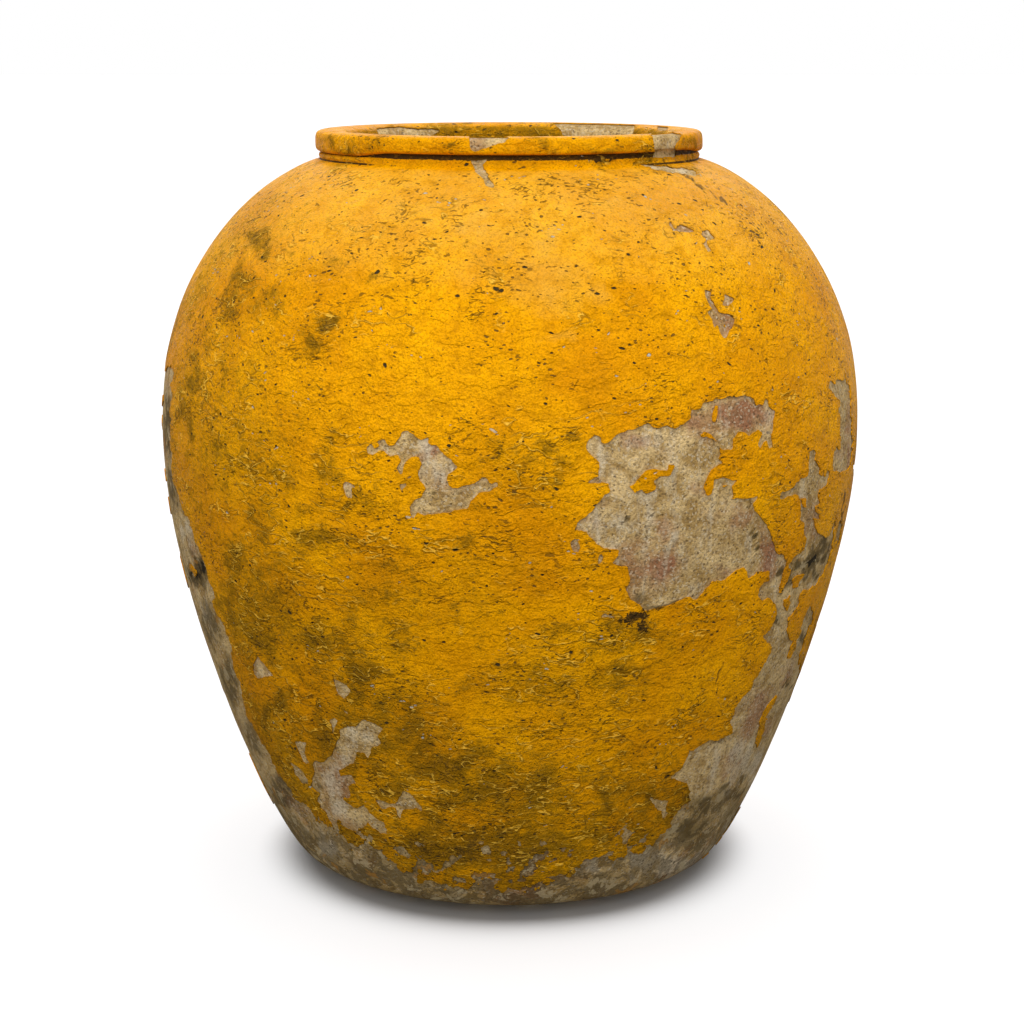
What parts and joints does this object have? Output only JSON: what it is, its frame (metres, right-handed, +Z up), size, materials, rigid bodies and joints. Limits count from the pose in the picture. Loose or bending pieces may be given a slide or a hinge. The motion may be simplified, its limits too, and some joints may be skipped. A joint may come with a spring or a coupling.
{
  "type": "planter",
  "caption": "Round-bellied fired-clay planter with a rolled rim, its wall built up in courses under a thick yellow coat that has flaked away in ragged patches.",
  "frame": {"origin": "middle of the base, on the floor", "axes": "+Z up, the side in the picture towards -Y, +X to the right seen from that side"},
  "size_m": [0.566, 0.566, 0.6],
  "materials": {
    "clay": "matte",
    "coat": "satin"
  },
  "bodies": {
    "root": {"floor_slab": "clay", "foot_course": "clay", "lower_course": "clay", "belly_course": "clay", "shoulder_course": "clay", "neck_course": "clay", "rim_band": "clay", "rim_bead": "clay", "body_coat": "coat", "rim_coat": "coat"}
  },
  "joints": []
}
